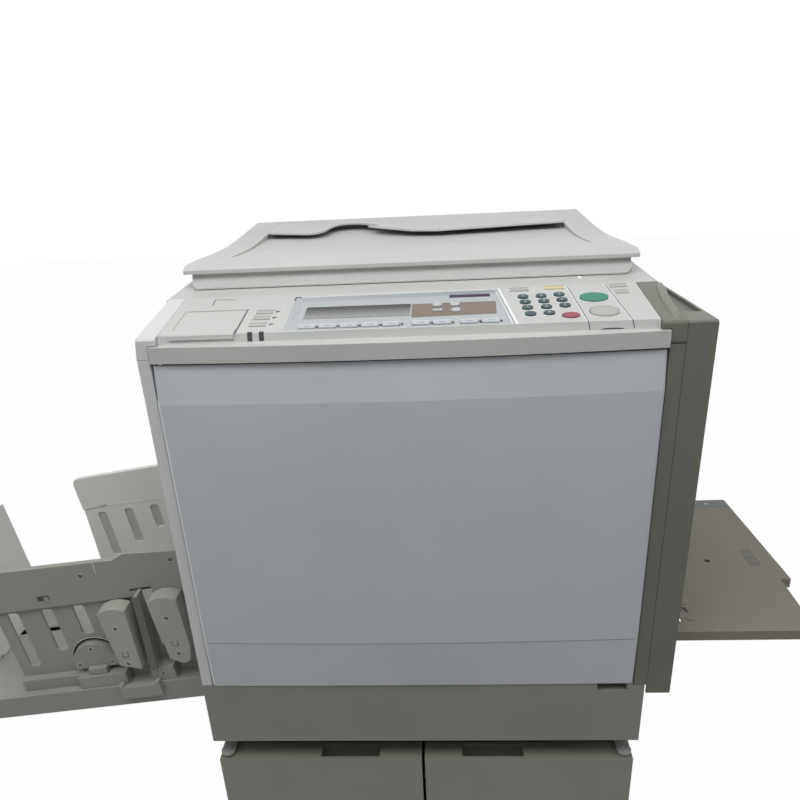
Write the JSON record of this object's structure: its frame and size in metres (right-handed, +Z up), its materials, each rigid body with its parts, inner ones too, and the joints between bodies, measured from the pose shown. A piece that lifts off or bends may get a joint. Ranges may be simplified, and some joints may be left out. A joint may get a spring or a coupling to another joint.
{
  "type": "digital duplicator",
  "caption": "Office digital duplicator on a two-door cabinet, with hinged platen cover, wide front door, operation panel, folding feed tray and sloping delivery table with fences.",
  "frame": {"origin": "on the floor, under the middle of the whole machine's box", "axes": "+Z up, +X to the viewer's right towards the feed tray, +Y from the front door to the rear cover"},
  "size_m": [1.3467, 0.704, 1.0685],
  "materials": {
    "cover": "fine moulded texture, light grey",
    "cover_dark": "fine moulded texture, warm grey",
    "door": "fine moulded texture, light blue grey",
    "platen": "fine grained, mid grey",
    "shelf_plate": "fine grained",
    "cabinet_paint": "powder coated, light grey",
    "cabinet_board": "laminated board, light grey",
    "zinc_steel": "zinc plated sheet",
    "steel": "turned steel",
    "foot_rubber": "black rubber",
    "roller_rubber": "ground rubber",
    "drum_screen": "fine metal screen",
    "gear_plastic": "white engineering plastic",
    "inner_plastic": "dark grey plastic",
    "tray_green": "grey green plastic",
    "paper_roll": "roll of master film",
    "motor_metal": "black motor case",
    "inlet_black": "black socket",
    "display_frame": "satin grey",
    "display_glass": "liquid crystal display under clear cover",
    "key_white": "satin key cap",
    "key_grey": "satin key cap in the cover's colour",
    "key_number": "dark teal key cap",
    "key_yellow": "ochre key cap",
    "key_red": "red key cap",
    "key_green": "green key cap",
    "scan_glass": "clear float glass",
    "scanner_black": "matt black",
    "pad_white": "white sheet on foam",
    "tray": "fine moulded texture, mid grey",
    "stop": "fine moulded texture, pale grey",
    "delivery": "fine moulded texture, warm off-white"
  },
  "bodies": {
    "root": {"cabinet_body": "cabinet_board", "cabinet_shelf": "cabinet_board", "cabinet_hinges": "steel", "levelling_feet": "foot_rubber", "base_frame": "zinc_steel", "front_frame_plate": "zinc_steel", "rear_frame_plate": "zinc_steel", "tie_bars": "steel", "lower_front_cover": "cover", "left_side_cover": "cover", "right_side_cover": "cover_dark", "left_top_cover": "cover", "right_top_cover": "cover_dark", "feed_side_cover": "cover_dark", "rear_cover": "cover", "power_inlet": "inlet_black", "door_hinge_pins": "steel", "panel_housing": "cover", "display_bezel": "display_frame", "display_window": "display_glass", "scanner_housing": "cover", "exposure_glass": "scan_glass", "platen_hinges": "inner_plastic", "drum_flange": "inner_plastic", "drive_motor": "motor_metal", "master_tray": "tray_green", "eject_box": "inner_plastic", "delivery_table": "delivery"},
    "cabinet_door_left": {"cabinet_door_left": "cabinet_paint"},
    "cabinet_door_right": {"cabinet_door_right": "cabinet_paint"},
    "front_door": {"front_door": "door"},
    "panel_flap": {"panel_flap": "cover"},
    "soft_keys": {"soft_keys": "key_white"},
    "number_keys": {"number_keys": "key_number"},
    "function_keys": {"function_keys": "key_grey"},
    "program_key": {"program_key": "key_yellow"},
    "clear_key": {"clear_key": "key_red"},
    "start_key": {"start_key": "key_green"},
    "proof_key": {"proof_key": "key_grey"},
    "scan_carriage": {"scan_carriage": "scanner_black"},
    "platen": {"platen_cover": "platen", "platen_pad": "pad_white", "platen_shelf": "shelf_plate"},
    "drum": {"print_drum": "drum_screen", "drum_gear": "gear_plastic"},
    "press_roller": {"press_roller": "roller_rubber"},
    "drive_gear": {"drive_gear": "steel"},
    "feed_roller": {"feed_roller": "roller_rubber"},
    "master_roll": {"master_roll": "paper_roll"},
    "feed_lift": {"feed_lift_plate": "zinc_steel"},
    "feed_tray": {"feed_tray": "tray"},
    "feed_fence_front": {"feed_fence_front": "tray"},
    "feed_fence_rear": {"feed_fence_rear": "tray"},
    "fence_front": {"fence_front": "delivery", "wings_front": "delivery", "fence_gear_cover_front": "delivery"},
    "fence_rear": {"fence_rear": "delivery", "wings_rear": "delivery", "fence_gear_cover_rear": "delivery"},
    "end_plate": {"end_plate": "stop"}
  },
  "joints": [
    {"name": "cabinet_door_left_hinge", "type": "hinge", "parent": "root", "child": "cabinet_door_left", "pos_m": [-0.1626, -0.3255, 0.2], "axis": [0, 0, -1], "range_deg": [0, 110]},
    {"name": "cabinet_door_right_hinge", "type": "hinge", "parent": "root", "child": "cabinet_door_right", "pos_m": [0.4134, -0.3255, 0.2], "axis": [0, 0, 1], "range_deg": [0, 110]},
    {"name": "front_door_hinge", "type": "hinge", "parent": "root", "child": "front_door", "pos_m": [-0.1526, -0.3335, 0.76], "axis": [0, 0, -1], "range_deg": [0, 95]},
    {"name": "panel_flap_hinge", "type": "hinge", "parent": "root", "child": "panel_flap", "pos_m": [-0.1016, -0.26157, 1.03449], "axis": [-1, 0, 0], "range_deg": [0, 100]},
    {"name": "soft_keys_press", "type": "slide", "parent": "root", "child": "soft_keys", "axis": [0, -0.1139, 0.9935], "range_m": [-0.001, 0], "stiffness_N_per_m": 250, "springref_m": 0.0005},
    {"name": "number_keys_press", "type": "slide", "parent": "root", "child": "number_keys", "axis": [0, -0.1139, 0.9935], "range_m": [-0.001, 0], "stiffness_N_per_m": 250, "springref_m": 0.0005},
    {"name": "function_keys_press", "type": "slide", "parent": "root", "child": "function_keys", "axis": [0, -0.1139, 0.9935], "range_m": [-0.001, 0], "stiffness_N_per_m": 250, "springref_m": 0.0005},
    {"name": "program_key_press", "type": "slide", "parent": "root", "child": "program_key", "axis": [0, -0.1139, 0.9935], "range_m": [-0.001, 0], "stiffness_N_per_m": 250, "springref_m": 0.0005},
    {"name": "clear_key_press", "type": "slide", "parent": "root", "child": "clear_key", "axis": [0, -0.1139, 0.9935], "range_m": [-0.001, 0], "stiffness_N_per_m": 250, "springref_m": 0.0005},
    {"name": "start_key_press", "type": "slide", "parent": "root", "child": "start_key", "axis": [0, -0.1139, 0.9935], "range_m": [-0.001, 0], "stiffness_N_per_m": 250, "springref_m": 0.0005},
    {"name": "proof_key_press", "type": "slide", "parent": "root", "child": "proof_key", "axis": [0, -0.1139, 0.9935], "range_m": [-0.001, 0], "stiffness_N_per_m": 250, "springref_m": 0.0005},
    {"name": "scan_travel", "type": "slide", "parent": "root", "child": "scan_carriage", "axis": [1, 0, 0], "range_m": [0, 0.44]},
    {"name": "platen_hinge", "type": "hinge", "parent": "root", "child": "platen", "pos_m": [0.1254, 0.3235, 1.0478], "axis": [-1, 0, 0], "range_deg": [0, 70]},
    {"name": "drum_spin", "type": "hinge", "parent": "root", "child": "drum", "pos_m": [0.1154, -0.0375, 0.79], "axis": [0, 1, 0], "continuous": true},
    {"name": "press_roller_spin", "type": "hinge", "parent": "root", "child": "press_roller", "pos_m": [0.1154, -0.0375, 0.6696], "axis": [0, 1, 0], "continuous": true},
    {"name": "drive_gear_spin", "type": "hinge", "parent": "root", "child": "drive_gear", "pos_m": [0.2238, 0.2625, 0.79], "axis": [0, 1, 0], "continuous": true},
    {"name": "feed_roller_spin", "type": "hinge", "parent": "root", "child": "feed_roller", "pos_m": [0.2754, -0.1255, 0.652], "axis": [0, 1, 0], "continuous": true},
    {"name": "master_roll_spin", "type": "hinge", "parent": "root", "child": "master_roll", "pos_m": [0.3104, -0.0375, 0.935], "axis": [0, 1, 0], "continuous": true},
    {"name": "feed_lift_travel", "type": "slide", "parent": "root", "child": "feed_lift", "axis": [0, 0, 1], "range_m": [-0.035, 0.02]},
    {"name": "feed_tray_fold", "type": "hinge", "parent": "feed_lift", "child": "feed_tray", "pos_m": [0.4774, -0.1255, 0.575], "axis": [0, -1, 0], "range_deg": [0, 85]},
    {"name": "feed_fence_front_slide", "type": "slide", "parent": "feed_lift", "child": "feed_fence_front", "axis": [0, 1, 0], "range_m": [0, 0.09]},
    {"name": "feed_fence_rear_slide", "type": "slide", "parent": "feed_lift", "child": "feed_fence_rear", "axis": [0, 1, 0], "range_m": [-0.09, 0]},
    {"name": "fence_front_slide", "type": "slide", "parent": "root", "child": "fence_front", "axis": [0, 1, 0], "range_m": [0, 0.095]},
    {"name": "fence_rear_slide", "type": "slide", "parent": "root", "child": "fence_rear", "axis": [0, 1, 0], "range_m": [-0.095, 0]},
    {"name": "end_plate_slide", "type": "slide", "parent": "root", "child": "end_plate", "axis": [0.9914, 0, 0.1305], "range_m": [-0.055, 0.08]}
  ],
  "couplings": [
    {"joint": "press_roller_spin", "follows": "drum_spin", "ratio": -3},
    {"joint": "drive_gear_spin", "follows": "drum_spin", "ratio": -5},
    {"joint": "feed_fence_rear_slide", "follows": "feed_fence_front_slide", "ratio": -1},
    {"joint": "fence_rear_slide", "follows": "fence_front_slide", "ratio": -1}
  ]
}
